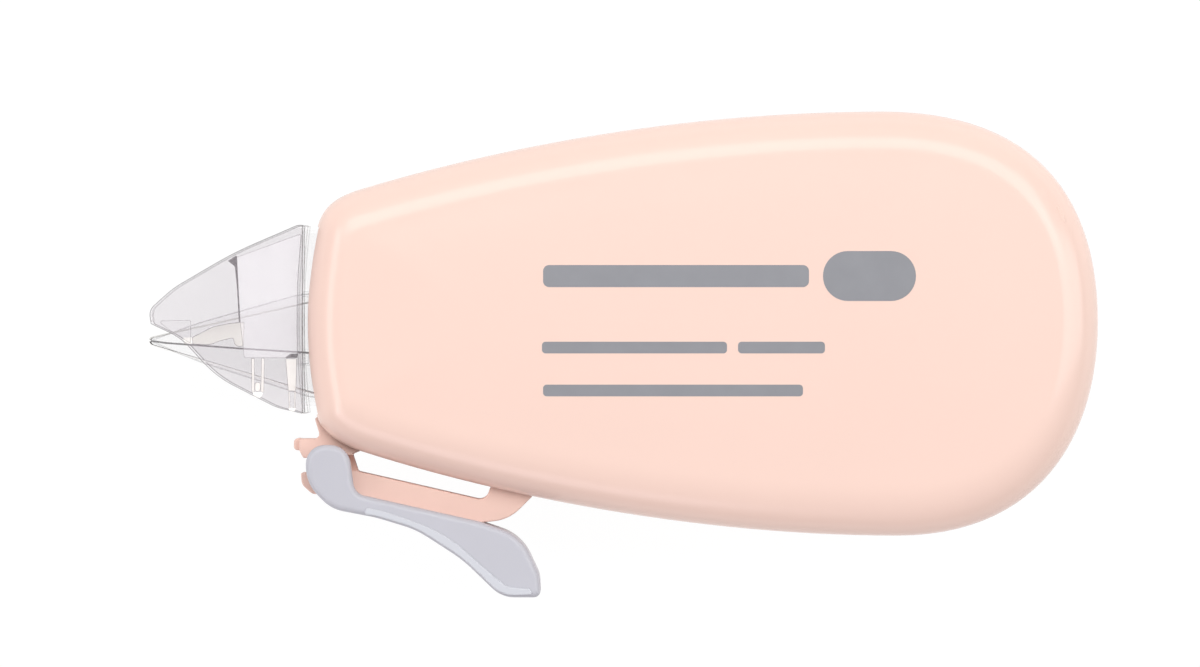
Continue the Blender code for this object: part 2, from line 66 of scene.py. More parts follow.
FRONT_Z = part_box("front_shell")[1].z / MM
MID_Z = FRONT_Z / 2
HALF_DEPTH = FRONT_Z / 2
SUPPLY_AT = centre_of("supply_spool")
TAKEUP_AT = centre_of("takeup_spool")
IDLER_AT = centre_of("idler_gear")
HINGE_AT = tuple(c / MM for c in JOINTS["cap_hinge"]["pos_m"][:2])

# Body: anchors of the outline, clockwise from the left end, as x, y, direction in degrees, and how far
# the curve's handles reach ahead and behind. The second list is where the flat face begins.
FACE_INSET = 3.4
ROLL_START = 3.7
WALL = 1.2
SEAM_GAP = 0.05
SEAM_CHAMFER = 0.15
FIRST_SEAM_STEP = 0.3
BODY_STEPS = 26
ROLL_STEPS = 16
BODY_OUTLINE = (
    (-26.16, 2.60, 90.0, 3.4, 3.5),
    (-25.30, 10.15, 78.5, 2.2, 0.9),
    (-21.59, 13.46, 16.8, 12.0, 1.7),
    (20.94, 19.77, 0.0, 12.0, 16.0),
    (38.54, 2.58, -90.0, 9.4, 10.7),
    (22.08, -14.91, 180.0, 14.4, 11.7),
    (-21.89, -7.94, 162.2, 1.4, 14.3),
    (-25.35, -4.96, 100.7, 1.8, 1.5),
)
FACE_OUTLINE = (
    (-22.70, 2.60, 90.0, 2.6, 2.8),
    (-22.10, 8.70, 76.0, 1.1, 0.8),
    (-20.50, 10.20, 17.0, 10.6, 1.0),
    (20.90, 16.37, 0.0, 10.0, 14.4),
    (35.14, 2.58, -90.0, 7.8, 8.8),
    (22.10, -10.40, 180.0, 12.8, 9.3),
    (-20.30, -4.10, 162.0, 0.9, 12.8),
    (-22.20, -3.20, 101.0, 1.2, 0.9),
)

# The face rises by CROWN between its rim and its spine, which runs along Y = SPINE_Y between these X
CROWN = 0.5
CROWN_STEPS = 8
CROWN_END = 0.97
SPINE_X = (-10.0, 21.0)
SPINE_Y = 2.7

# Openings in both shells: two corners, and how far each reaches from the middle of the thickness
OPENINGS = (
    ((-30.0, -5.0), (-22.4, 10.35), 4.55),
    ((-27.0, -9.5), (-21.5, -4.4), 3.45),
    ((-11.2, -14.0), (-7.7, -9.0), 3.45),
)

# Printing: how far the ink stands proud and how thick it is, the steps of a mark's mesh along it and
# across it, and each mark's two corners and the radius that rounds them
INK = 0.015
INK_THICKNESS = 0.045
NARROWEST_HALF = 0.01
PRINT_END_STEPS = 10
PRINT_MIDDLE_STEPS = 40
PRINT_ROWS = (0.0, 0.25, 0.5, 0.75, 1.0)
PRINT_MARKS = {
    "print_bar_1": ((-6.81, 5.40), (14.86, 7.20), 0.5),
    "print_pill": ((16.0, 4.27), (23.58, 8.34), 2.03),
    "print_bar_2": ((-6.90, 0.00), (8.18, 0.95), 0.3),
    "print_bar_3": ((9.08, 0.00), (16.16, 0.95), 0.3),
    "print_bar_4": ((-6.81, -3.50), (14.37, -2.55), 0.3),
}

# Inside the shells: place, radius and top of the posts of the two reels and the idler, of the peg that
# guides the tape and of the pin that holds the head, then the steps at the foot of the first three, and
# the pins and sockets that join the halves
INSIDE_FLOOR = 1.0
POSTS = (
    (SUPPLY_AT, 1.9, 13.2),
    (TAKEUP_AT, 1.4, 12.6),
    (IDLER_AT, 1.5, 3.3),
    ((-18.5, -4.0), 1.2, 12.6),
    ((-21.5, 1.0), 0.8, 11.6),
)
POST_STEPS = ((SUPPLY_AT, 2.5), (TAKEUP_AT, 2.0), (IDLER_AT, 2.1))
POST_STEP_TOP = 1.7
LOCATING_PINS = ((34.0, 10.6), (33.6, -5.6), (-17.5, 11.0), (4.0, -9.2), (2.0, 14.0))
PIN_RADIUS = 1.0
PIN_TOP = 12.0
SOCKET_RADII = (1.1, 1.9)
SOCKET_HEIGHTS = (9.2, 13.8)

# Flat pieces: corners of each outline, as x, y and the radius that rounds it. A name that ends in HALF, or
# in INNER for a hollow, says how far a piece reaches from the middle of the thickness.

# Chassis
CHASSIS_OUTLINE = (
    (-26.80, -6.98, 0.20),
    (-25.00, -6.98, 0.40),
    (-25.52, -5.25, 0.20),
    (-23.40, -4.95, 0.30),
    (-19.80, -5.50, 0.20),
    (-19.80, -6.30, 0.20),
    (-21.70, -6.30, 0.15),
    (-21.80, -8.00, 0.15),
    (-22.42, -8.25, 0.15),
    (-21.95, -9.66, 0.20),
    (-16.10, -11.00, 8.00),
    (-11.55, -12.05, 0.80),
    (-11.00, -10.60, 0.15),
    (-11.05, -9.40, 0.15),
    (-12.80, -8.35, 0.20),
    (-12.80, -7.60, 0.20),
    (-6.20, -9.20, 0.20),
    (-6.20, -9.95, 0.20),
    (-7.50, -10.30, 0.15),
    (-7.60, -11.60, 0.40),
    (-9.60, -13.60, 3.50),
    (-12.40, -13.90, 1.50),
    (-21.20, -11.75, 0.50),
    (-25.70, -11.50, 0.60),
    (-26.55, -10.75, 0.80),
    (-26.64, -9.76, 0.15),
    (-24.51, -9.76, 0.15),
    (-24.51, -8.56, 0.15),
    (-26.45, -8.56, 0.20),
    (-26.75, -7.95, 0.20),
)
PRONG_END_OUTLINE = (
    (-27.22, -6.98, 0.40),
    (-26.60, -6.93, 0.15),
    (-26.60, -7.93, 0.15),
    (-27.22, -7.93, 0.30),
)
CATCH_OUTLINE = (
    (-12.50, -13.70, 0.15),
    (-11.70, -13.85, 0.15),
    (-11.55, -14.40, 0.15),
    (-12.30, -14.30, 0.15),
)
CHASSIS_HALF = 3.3
PRONG_END_HALF = 2.6
CATCH_HALF = 1.2

# The recess on both sides of the link that joins the fork to the bar
LINK_RECESS = ((-23.4, -9.60), (-21.6, -8.30))
LINK_HALF = 1.6
PAST_SIDE = 5.0

# Cap: its hollow, and the raised band along its rim
CAP_OUTLINE = (
    (-26.17, -7.48, 1.70),
    (-22.73, -7.48, 1.70),
    (-22.20, -11.45, 1.20),
    (-11.93, -13.76, 5.00),
    (-8.60, -14.90, 4.20),
    (-7.10, -18.10, 2.60),
    (-7.00, -19.93, 0.55),
    (-10.20, -19.93, 2.60),
    (-13.40, -16.85, 12.00),
    (-17.20, -14.40, 8.00),
    (-20.50, -13.40, 12.00),
    (-24.10, -12.72, 3.20),
    (-26.22, -10.60, 3.60),
)
CAP_HOLLOW = (
    (-30.0, -5.0, 0.0),
    (-21.2, -5.0, 0.0),
    (-21.2, -12.60, 0.3),
    (-12.10, -14.70, 2.5),
    (-9.20, -15.50, 2.8),
    (-7.75, -18.30, 2.0),
    (-7.90, -22.0, 0.0),
    (-30.0, -22.0, 0.0),
)
CAP_RIM_OUTLINE = (
    (-21.25, -12.60, 0.20),
    (-19.90, -12.86, 8.00),
    (-16.60, -13.98, 12.00),
    (-14.30, -15.15, 12.00),
    (-11.20, -17.90, 10.00),
    (-9.70, -19.10, 1.60),
    (-7.95, -19.20, 0.20),
    (-7.60, -19.70, 0.15),
    (-10.18, -19.78, 2.50),
    (-13.36, -16.70, 12.00),
    (-17.16, -14.26, 8.00),
    (-20.45, -13.26, 12.00),
    (-21.45, -13.14, 0.20),
)
CAP_INNER = 4.7
CAP_PLATE_HALF = 5.42
CAP_RIM_SUNK = 0.3
CAP_RIM_PROUD = 0.12
CAP_PIN_RADIUS = 0.8
CAP_PIN_BITE = 0.1

# Guard: its hollow, the neck that enters the body, and the bowed flange in front of the body
GUARD_OUTLINE = (
    (-38.88, 2.40, 0.12),
    (-39.05, 3.55, 1.80),
    (-37.05, 5.35, 8.00),
    (-32.10, 8.25, 30.00),
    (-26.90, 10.50, 2.00),
    (-26.45, 10.50, 0.10),
    (-26.45, -4.95, 0.10),
    (-28.60, -4.45, 5.00),
    (-33.50, -1.95, 9.00),
    (-36.45, 1.25, 5.00),
)
GUARD_HOLLOW = (
    (-40.00, 0.00, 0.0),
    (-38.80, 2.80, 0.2),
    (-38.86, 3.58, 1.6),
    (-36.97, 5.22, 8.0),
    (-32.02, 8.08, 30.0),
    (-27.15, 10.25, 3.0),
    (-20.00, 10.25, 0.0),
    (-20.00, -6.00, 0.0),
    (-30.00, -9.00, 0.0),
)
GUARD_INNER = 3.6
GUARD_HALF = 4.4
NECK = ((-26.30, -4.30), (-23.0, 10.10))
NECK_HALF = GUARD_HALF - 0.05
NECK_WALL = 0.3
NECK_TUNNEL_X = (-30.0, -20.0)
FLANGE_X = -26.97
FLANGE_Y = (-4.95, 10.50)
FLANGE_HALF = 4.7
FLANGE_THICKNESS = 0.5
FLANGE_BOW = 60.0
BOW_STEPS = 24

# Head: its side plates reach from the channel to HEAD_HALF, and the web, the arm and the stop lie between
HEAD_OUTLINE = (
    (-38.90, 1.12, 0.08),
    (-37.30, 1.72, 10.0),
    (-34.80, 2.60, 10.0),
    (-26.50, 4.95, 10.0),
    (-24.00, 4.90, 1.0),
    (-20.30, 3.20, 0.6),
    (-20.30, -1.40, 0.6),
    (-23.60, -3.80, 0.6),
    (-26.00, -3.60, 3.0),
    (-34.80, -0.80, 10.0),
    (-37.40, 0.25, 10.0),
    (-38.90, 0.90, 0.08),
)
WEB_OUTLINE = (
    (-38.93, 1.08, 0.03),
    (-37.70, 0.91, 5.0),
    (-31.60, 0.46, 20.0),
    (-23.60, -0.04, 0.05),
    (-23.60, -0.18, 0.05),
    (-31.60, 0.32, 20.0),
    (-37.70, 0.77, 5.0),
    (-38.93, 0.94, 0.03),
)
HEAD_CHANNEL = 2.6
HEAD_HALF = 3.1
WEB_HALF = HEAD_CHANNEL - 0.01
ARM_HALF = 0.9
STOP_HALF = 1.2
ARM_OUTLINE = (
    (-35.64, 1.30, 0.10),
    (-33.90, 2.20, 3.00),
    (-32.50, 2.48, 3.00),
    (-31.30, 2.60, 0.10),
    (-31.35, 0.58, 0.10),
    (-31.85, 0.52, 0.25),
    (-32.15, 0.75, 0.15),
    (-32.25, 1.25, 0.15),
    (-33.20, 1.02, 0.80),
    (-34.20, 0.66, 1.50),
    (-35.55, 0.72, 0.10),
)
STOP_OUTLINE = ((-36.36, 1.29, 0.06), (-35.62, 1.29, 0.06), (-35.66, 0.76, 0.06), (-36.15, 0.76, 0.06))

# Details on the inside of the guard's front plate
DETAIL_HIGH = MID_Z + GUARD_INNER - 0.02
DETAIL_LOW = MID_Z + GUARD_INNER - 0.35
PAD_OUTLINE = ((-38.40, 2.66, 0.15), (-35.62, 2.72, 0.15), (-35.62, 0.80, 0.10), (-36.90, 1.55, 1.00))
PANEL_OUTLINE = (
    (-31.93, 7.85, 0.10),
    (-31.60, 2.56, 8.00),
    (-31.27, -0.38, 0.10),
    (-27.92, -0.38, 0.10),
    (-27.43, -0.06, 0.10),
    (-26.86, -0.06, 0.10),
    (-26.86, 6.00, 0.10),
    (-26.60, 9.80, 0.10),
)
STRUT_OUTLINE = (
    (-32.60, 7.55, 0.05),
    (-31.85, 8.05, 0.10),
    (-31.72, 5.20, 1.00),
    (-31.58, 2.56, 0.05),
    (-31.70, 2.56, 0.05),
    (-31.84, 5.20, 1.00),
    (-32.02, 7.10, 0.30),
)

# For each body of these, the radius of its edges and its outline
RIBS = (
    (0.04, ((-30.68, -0.40, 0.05), (-30.66, -3.20, 0.40), (-30.42, -3.20, 0.05), (-30.42, -0.40, 0.05))),
    (0.04, ((-29.86, -0.40, 0.05), (-29.92, -3.20, 0.05), (-29.64, -3.20, 0.40), (-29.60, -0.40, 0.05))),
    (0.05, ((-30.40, -2.35, 0.20), (-30.42, -3.15, 0.25), (-29.90, -3.15, 0.25), (-29.92, -2.35, 0.20))),
    (0.04, ((-27.66, -3.10, 0.05), (-27.62, -4.50, 0.20), (-27.48, -4.50, 0.05), (-27.50, -3.10, 0.05))),
    (0.04, ((-27.18, -3.10, 0.05), (-27.22, -4.50, 0.05), (-27.06, -4.50, 0.20), (-27.02, -3.10, 0.05))),
)
WEDGE = (
    (0.03, ((-27.92, -0.38, 0.03), (-27.40, -0.04, 0.03), (-26.86, -0.04, 0.03), (-26.94, -0.38, 0.03))),
)
GUARD_POST = (
    (0.05, ((-27.90, -0.42, 0.06), (-27.68, -3.10, 0.08), (-27.02, -3.10, 0.08), (-26.94, -0.42, 0.06))),
)
# The feet at the lower ends of the ribs are painted highlights, for the glints where the ribs meet the
# edge.
FEET_GLINTS = (
    (0.04, ((-30.60, -3.20, 0.06), (-30.36, -3.62, 0.06), (-29.95, -3.62, 0.06), (-29.70, -3.20, 0.06))),
    (0.04, ((-27.66, -4.45, 0.05), (-27.50, -4.75, 0.05), (-27.20, -4.80, 0.05), (-27.04, -4.45, 0.05))),
)
RAILS = (
    (0.04, ((-26.86, 0.00, 0.04), (-25.96, 0.00, 0.04), (-25.96, -0.86, 0.04), (-26.86, -0.86, 0.04))),
    (0.02, ((-26.88, -0.90, 0.03), (-25.90, -0.90, 0.03), (-25.90, -1.02, 0.03), (-26.88, -1.02, 0.03))),
    (0.03, ((-26.46, 5.05, 0.03), (-25.86, 5.05, 0.03), (-25.86, 4.60, 0.03), (-26.46, 4.60, 0.03))),
)


def srgb(red, green, blue):
    """Linear colour of an 8-bit sRGB one."""

    def linear(value):
        value /= 255
        return value / 12.92 if value <= 0.04045 else ((value + 0.055) / 1.055) ** 2.4

    return linear(red), linear(green), linear(blue), 1.0


# Outlines


def arc(centre, radius, start, end, steps):
    """Points along a circle, with the angles in radians."""
    return [
        (centre[0] + radius * math.cos(a), centre[1] + radius * math.sin(a))
        for a in (start + (end - start) * i / steps for i in range(steps + 1))
    ]


def circle(centre, radius, steps):
    return arc(centre, radius, 0.0, 2 * math.pi, steps)[:-1]


def rectangle(low, high):
    return [(low[0], low[1]), (high[0], low[1]), (high[0], high[1]), (low[0], high[1])]


CORNER_STEPS = 8
CORNER_SHARE = 0.49
SMALLEST_CORNER = 1e-3
MOST_STRETCH = 1.6


def rounded(corners):
    """The polygon through the corners (x, y, radius), each rounded by an arc that fits its sides."""
    loop = []
    for i, (x, y, radius) in enumerate(corners):
        here = Vector((x, y))
        back = Vector(corners[i - 1][:2]) - here
        ahead = Vector(corners[(i + 1) % len(corners)][:2]) - here
        half = back.angle(ahead) / 2
        reach = min(radius / math.tan(half), CORNER_SHARE * min(back.length, ahead.length))
        if reach < SMALLEST_CORNER:
            loop.append((x, y))
            continue
        start = here + back.normalized() * reach
        centre = here + (back.normalized() + ahead.normalized()).normalized() * reach / math.cos(half)
        arm = start - centre
        side = 1 if back.cross(ahead) < 0 else -1
        turn = side * (math.pi - 2 * half)
        for step in range(CORNER_STEPS + 1):
            a = turn * step / CORNER_STEPS
            loop.append((
                centre.x + arm.x * math.cos(a) - arm.y * math.sin(a),
                centre.y + arm.x * math.sin(a) + arm.y * math.cos(a),
            ))
    return loop


def spline(anchors, steps):
    """A closed smooth curve through anchors of (x, y, direction, reach ahead, reach behind)."""
    loop = []
    for i, (x, y, direction, ahead, _) in enumerate(anchors):
        next_x, next_y, next_direction, _, behind = anchors[(i + 1) % len(anchors)]
        start = Vector((x, y))
        end = Vector((next_x, next_y))
        heading = math.radians(direction)
        out = start + ahead * Vector((math.cos(heading), math.sin(heading)))
        heading = math.radians(next_direction)
        back = end - behind * Vector((math.cos(heading), math.sin(heading)))
        for step in range(steps):
            t = step / steps
            left = 1 - t
            point = start * left**3 + out * 3 * t * left**2 + back * 3 * t**2 * left + end * t**3
            loop.append(tuple(point))
    return loop


def body_loop(inset):
    """The body's outline, moved in by about this much."""
    share = inset / FACE_INSET
    outer = spline(BODY_OUTLINE, BODY_STEPS)
    inner = spline(FACE_OUTLINE, BODY_STEPS)
    return [
        (a[0] + (b[0] - a[0]) * share, a[1] + (b[1] - a[1]) * share)
        for a, b in zip(outer, inner)
    ]


def moved_in(loop, distance):
    """The loop with each point moved towards the inside, so that its sides are this much further in."""
    turning = sum(a[0] * b[1] - b[0] * a[1] for a, b in zip(loop, loop[1:] + loop[:1]))
    side = 1 if turning > 0 else -1
    moved = []
    for i, here in enumerate(loop):
        here = Vector(here)
        back = (here - Vector(loop[i - 1])).normalized()
        ahead = (Vector(loop[(i + 1) % len(loop)]) - here).normalized()
        tangent = (back + ahead).normalized()
        stretch = 1 / max(1 / MOST_STRETCH, tangent.dot(ahead))
        moved.append(tuple(here + Vector((-tangent.y, tangent.x)) * side * distance * stretch))
    return moved


def around_middle(half):
    """The heights of a piece that reaches this far on both sides of the middle of the thickness."""
    return MID_Z - half, MID_Z + half


def on_side(side, inner, outer):
    """The lower and upper height of a plate between these two distances from the middle."""
    return sorted((MID_Z + side * inner, MID_Z + side * outer))


# Meshes


def placed(name, mesh):
    """A new object of this mesh, smooth apart from its sharp edges."""
    mesh.shade_smooth()
    mesh.set_sharp_from_angle(angle=math.radians(SHARP_ANGLE))
    made = bpy.data.objects.new(name, mesh)
    bpy.context.scene.collection.objects.link(made)
    return made


def mesh_object(name, vertices, faces):
    """A new object of these vertices, in millimetres, and faces, which all look outwards."""
    mesh = bpy.data.meshes.new(name)
    mesh.from_pydata([[MM * c for c in v] for v in vertices], [], faces)
    built = bmesh.new()
    built.from_mesh(mesh)
    bmesh.ops.recalc_face_normals(built, faces=built.faces)
    built.to_mesh(mesh)
    built.free()
    return placed(name, mesh)


def stacked(name, rings):
    """A closed form through rings of (loop, z), capped at the first and the last."""
    count = len(rings[0][0])
    vertices = [(x, y, z) for loop, z in rings for x, y in loop]
    faces = [tuple(range(count)), tuple(range(len(vertices) - count, len(vertices)))]
    for level in range(len(rings) - 1):
        low = level * count
        faces += [
            (low + i, low + (i + 1) % count, low + count + (i + 1) % count, low + count + i)
            for i in range(count)
        ]
    return mesh_object(name, vertices, faces)


def slab(name, loop, z, edge, steps=4):
    """A flat piece between two heights, with edges rounded by this radius."""
    low, high = z
    rings = []
    for step in range(steps + 1):
        a = math.pi / 2 * step / steps
        rings.append((moved_in(loop, edge * (1 - math.sin(a))), low + edge * (1 - math.cos(a))))
    for step in range(steps + 1):
        a = math.pi / 2 * step / steps
        rings.append((moved_in(loop, edge * (1 - math.cos(a))), high - edge * (1 - math.sin(a))))
    return stacked(name, rings)


def turned(name, profile, at, steps=48):
    """A solid swept round Z from an open profile of (radius, z), whose ends are closed by flat caps."""
    return stacked(name, [(circle(at, radius, steps), z) for radius, z in profile])


def post(name, at, radius, low, high, chamfer=0.25):
    return turned(name, [(radius, low), (radius, high - chamfer), (radius - chamfer, high)], at)


def socket(name, at, radii, heights, chamfer=0.15, steps=36):
    """A ring that stands on the shell, open at both ends."""
    inner, outer = radii
    low, high = heights
    profile = [
        (inner, low),
        (outer, low),
        (outer, high - chamfer),
        (outer - chamfer, high),
        (inner + chamfer, high),
        (inner, high - chamfer),
    ]
    count = len(profile)
    vertices = []
    for step in range(steps):
        a = 2 * math.pi * step / steps
        vertices += [(at[0] + r * math.cos(a), at[1] + r * math.sin(a), z) for r, z in profile]
    faces = []
    for step in range(steps):
        here = step * count
        there = (step + 1) % steps * count
        faces += [
            (here + i, here + (i + 1) % count, there + (i + 1) % count, there + i)
            for i in range(count)
        ]
    return mesh_object(name, vertices, faces)


def cut(target, tools):
    """The target after each tool's volume is taken away from it. The tools are removed."""
    for tool in tools:
        modifier = target.modifiers.new(tool.name, "BOOLEAN")
        modifier.operation = "DIFFERENCE"
        modifier.object = tool
        modifier.solver = "EXACT"
    graph = bpy.context.evaluated_depsgraph_get()
    mesh = bpy.data.meshes.new_from_object(target.evaluated_get(graph))
    target.modifiers.clear()
    target.data = mesh
    for tool in tools:
        bpy.data.objects.remove(tool)
    mesh.shade_smooth()
    mesh.set_sharp_from_angle(angle=math.radians(SHARP_ANGLE))
    return target


def joined(name, objects):
    """One object that holds the bodies of several."""
    built = bmesh.new()
    for obj in objects:
        built.from_mesh(obj.data)
        bpy.data.objects.remove(obj)
    mesh = bpy.data.meshes.new(name)
    built.to_mesh(mesh)
    built.free()
    return placed(name, mesh)


# A face belongs to a rounded edge where the height of its normal lies between these. Such faces take a
# piece's second look, the painted edge shade
UPRIGHT = 0.03
FLAT = 0.97


def finish_piece(piece, looks, body, replaced=(), even_normals=True):
    """Gives a piece its look, or a pair for its flat faces and its edges, whose look is painted shade, and
    fixes it to a body.
    """
    piece.data.materials.clear()
    looks = looks if isinstance(looks, tuple) else (looks,)
    for look in looks:
        piece.data.materials.append(look)
    for face in piece.data.polygons:
        on_edge = UPRIGHT < abs(face.normal.z) < FLAT
        face.material_index = int(len(looks) > 1 and on_edge)
    if even_normals:
        modifier = piece.modifiers.new("even_normals", "WEIGHTED_NORMAL")
        modifier.keep_sharp = True
    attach(piece, body)
    if replaced:
        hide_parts(*replaced)


# Materials

PLASTIC_IOR = 1.48
CLEAR_IOR = 1.49
CLEAR_ROUGHNESS = 0.06
LAYER_RINGS = 0.9


class Nodes:
    """A material's node tree, with short calls for what the looks below use."""

    def __init__(self, name):
        self.material = bpy.data.materials.new(name)
        self.material.use_nodes = True
        self.tree = self.material.node_tree
        self.shader = self.tree.nodes["Principled BSDF"]
        self.place = self.tree.nodes.new("ShaderNodeTexCoord").outputs["Object"]

    def new(self, kind, **values):
        node = self.tree.nodes.new(kind)
        for key, value in values.items():
            setattr(node, key, value)
        return node

    def link(self, output, target):
        self.tree.links.new(output, target)

    def stretched(self, scale):
        """Coordinates that draw a pattern out along the directions with a small scale."""
        node = self.new("ShaderNodeMapping")
        node.inputs["Scale"].default_value = scale
        self.link(self.place, node.inputs["Vector"])
        return node.outputs["Vector"]

    def noise(self, size, detail=3.0, where=None):
        """Noise whose blobs are about this many millimetres across."""
        node = self.new("ShaderNodeTexNoise")
        node.inputs["Scale"].default_value = 1 / (size * MM)
        node.inputs["Detail"].default_value = detail
        self.link(where or self.place, node.inputs["Vector"])
        return node.outputs["Fac"]

    def span(self, value, low, high, start=0.3, end=0.7):
        """Low to high while the value goes from start to end."""
        node = self.new("ShaderNodeMapRange")
        node.inputs["From Min"].default_value = start
        node.inputs["From Max"].default_value = end
        node.inputs["To Min"].default_value = low
        node.inputs["To Max"].default_value = high
        self.link(value, node.inputs["Value"])
        return node.outputs["Result"]

    def ramp(self, value, stops):
        """A colour between two stops of (value, colour)."""
        node = self.new("ShaderNodeValToRGB")
        for element, (position, colour) in zip(node.color_ramp.elements, stops):
            element.position = position
            element.color = colour
        self.link(value, node.inputs["Fac"])
        return node.outputs["Color"]

    def bump(self, height, distance):
        """A relief this many millimetres deep."""
        node = self.new("ShaderNodeBump")
        node.inputs["Distance"].default_value = distance * MM
        self.link(height, node.inputs["Height"])
        self.link(node.outputs["Normal"], self.shader.inputs["Normal"])

    def facing(self):
        """0 where the surface faces the viewer, 1 where it is seen edge on."""
        node = self.new("ShaderNodeLayerWeight")
        node.inputs["Blend"].default_value = 0.5
        return node.outputs["Facing"]

    def set(self, name, value):
        self.shader.inputs[name].default_value = value


def shade(colour, factor):
    return tuple(min(1.0, c * factor) for c in colour[:3]) + (1.0,)


def moulded(name, colour, roughness, patch=9.0, depth=0.03, grain=0.35, bump=0.004):
    """Moulded plastic: faint patches in the colour and the gloss, and a fine skin texture."""
    nodes = Nodes(name)
    patches = nodes.noise(patch)
    tint = nodes.ramp(patches, [(0.3, shade(colour, 1 - depth)), (0.7, shade(colour, 1 + depth))])
    nodes.link(tint, nodes.shader.inputs["Base Color"])
    rough = nodes.span(nodes.noise(grain * 3, detail=5), roughness * 0.88, roughness * 1.12)
    nodes.link(rough, nodes.shader.inputs["Roughness"])
    nodes.bump(nodes.noise(grain, detail=4), bump)
    nodes.set("IOR", PLASTIC_IOR)
    return nodes.material


def see_through(name, colour, face_alpha, edge_alpha, glow=0.0):
    """Clear plastic: thin where it is looked through, and denser where it is seen edge on.

    glow is painted light: the plastic gives off light though it is no lamp, so it looks brighter than its
    lighting makes it.
    """
    nodes = Nodes(name)
    patches = nodes.noise(3.0, detail=2)
    tint = nodes.ramp(patches, [(0.3, shade(colour, 0.96)), (0.7, shade(colour, 1.04))])
    nodes.link(tint, nodes.shader.inputs["Base Color"])
    streaks = nodes.noise(2.5, detail=2, where=nodes.stretched((0.25, 1, 1)))
    thin = nodes.span(streaks, face_alpha * 0.9, face_alpha * 1.1)
    mix = nodes.new("ShaderNodeMix")
    nodes.link(nodes.span(nodes.facing(), 0, 1, 0.3, 1.0), mix.inputs["Factor"])
    nodes.link(thin, mix.inputs["A"])
    mix.inputs["B"].default_value = edge_alpha
    nodes.link(mix.outputs["Result"], nodes.shader.inputs["Alpha"])
    rough = nodes.span(nodes.noise(1.2), CLEAR_ROUGHNESS * 0.7, CLEAR_ROUGHNESS * 1.3)
    nodes.link(rough, nodes.shader.inputs["Roughness"])
    nodes.bump(nodes.noise(4.0, detail=1), 0.01)
    nodes.set("IOR", CLEAR_IOR)
    nodes.set("Emission Color", colour)
    nodes.set("Emission Strength", glow)
    return nodes.material


GLOSSY_PINK = moulded("glossy_pink_plastic", srgb(244, 213, 200), 0.2, patch=14, depth=0.006, bump=0.001)
MATTE_PINK = moulded("matte_pink_plastic", srgb(236, 201, 188), 0.55, patch=5, depth=0.02, bump=0.008)
CLEAR = see_through("clear_plastic", srgb(188, 175, 186), face_alpha=0.1, edge_alpha=0.5)
# The three edge looks are a dark grey painted on the rounded edges and thin walls of the clear parts:
# painted shade, for the darkness clear plastic shows where it is seen edge on.
CLEAR_EDGE_SHADE = see_through("clear_edge_painted_shade", srgb(104, 100, 102), face_alpha=0.6, edge_alpha=0.7)
THIN_CLEAR = see_through("thin_clear_plastic", srgb(200, 194, 200), face_alpha=0.03, edge_alpha=0.3)
SOFT_EDGE_SHADE = see_through("soft_clear_edge", srgb(120, 116, 118), face_alpha=0.3, edge_alpha=0.4)
HEAD_EDGE_SHADE = see_through("head_clear_edge", srgb(116, 112, 114), face_alpha=0.13, edge_alpha=0.25)
# The pale panel and the cream arm, ribs and post glow, which is painted light that makes them brighter than
# their lighting does. Their pale and cream tints are their own.
PALE_PANEL_PAINTED_GLOW = see_through(
    "pale_clear_painted_glow", srgb(250, 247, 251), face_alpha=0.14, edge_alpha=0.3, glow=0.4
)
CREAM_PAINTED_GLOW = see_through("clear_cream_painted_glow", srgb(250, 247, 240), face_alpha=0.4, edge_alpha=0.6, glow=0.4)
# A glowing near white on the rib feet and the arm's stop: painted highlights, for small glints on the clear
# plastic.
PAINTED_GLINT = see_through("painted_glint_plastic", srgb(255, 253, 248), face_alpha=0.7, edge_alpha=0.9, glow=0.5)
SMOKY = moulded("smoky_grey_plastic", srgb(193, 193, 201), 0.4, patch=7, depth=0.012, bump=0.003)
# The rim band is painted lighter than the cap: painted light, for the brighter look of the thick bottom
# wall seen through the smoky plate.
SMOKY_RIM_PAINTED_LIGHT = moulded("smoky_rim_painted_light", srgb(207, 209, 216), 0.3, patch=5, depth=0.012, bump=0.002)
PRINT = moulded("grey_ink", srgb(142, 143, 148), 0.5, patch=2, grain=0.2, bump=0.002)
WHITE_NYLON = moulded("white_nylon", srgb(236, 236, 232), 0.42, patch=3, depth=0.02)
REEL = moulded("reel_plastic", srgb(220, 222, 226), 0.3, patch=3, depth=0.02)
GREY = moulded("grey_plastic", srgb(188, 190, 194), 0.45, patch=5, depth=0.02)


def wound(name, colour, roughness, at):
    """Tape wound on a reel: the edges of its layers are fine rings."""
    nodes = Nodes(name)
    centred = nodes.new("ShaderNodeMapping")
    centred.inputs["Location"].default_value = (-at[0] * MM, -at[1] * MM, 0)
    nodes.link(nodes.place, centred.inputs["Vector"])
    rings = nodes.new("ShaderNodeTexWave", wave_type="RINGS", rings_direction="Z")
    rings.inputs["Scale"].default_value = 1 / (LAYER_RINGS * MM)
    rings.inputs["Distortion"].default_value = 0.6
    nodes.link(centred.outputs["Vector"], rings.inputs["Vector"])
    tint = nodes.ramp(rings.outputs["Fac"], [(0.2, shade(colour, 0.93)), (0.8, colour)])
    nodes.link(tint, nodes.shader.inputs["Base Color"])
    nodes.bump(rings.outputs["Fac"], 0.02)
    nodes.set("Roughness", roughness)
    return nodes.material


def ribbon_look(name, colour, roughness):
    """A run of tape: streaks along its length."""
    nodes = Nodes(name)
    streaks = nodes.noise(0.8, detail=4, where=nodes.stretched((0.1, 0.1, 1)))
    tint = nodes.ramp(streaks, [(0.3, shade(colour, 0.96)), (0.7, colour)])
    nodes.link(tint, nodes.shader.inputs["Base Color"])
    nodes.link(nodes.span(streaks, roughness * 0.9, roughness * 1.1), nodes.shader.inputs["Roughness"])
    nodes.bump(streaks, 0.003)
    return nodes.material


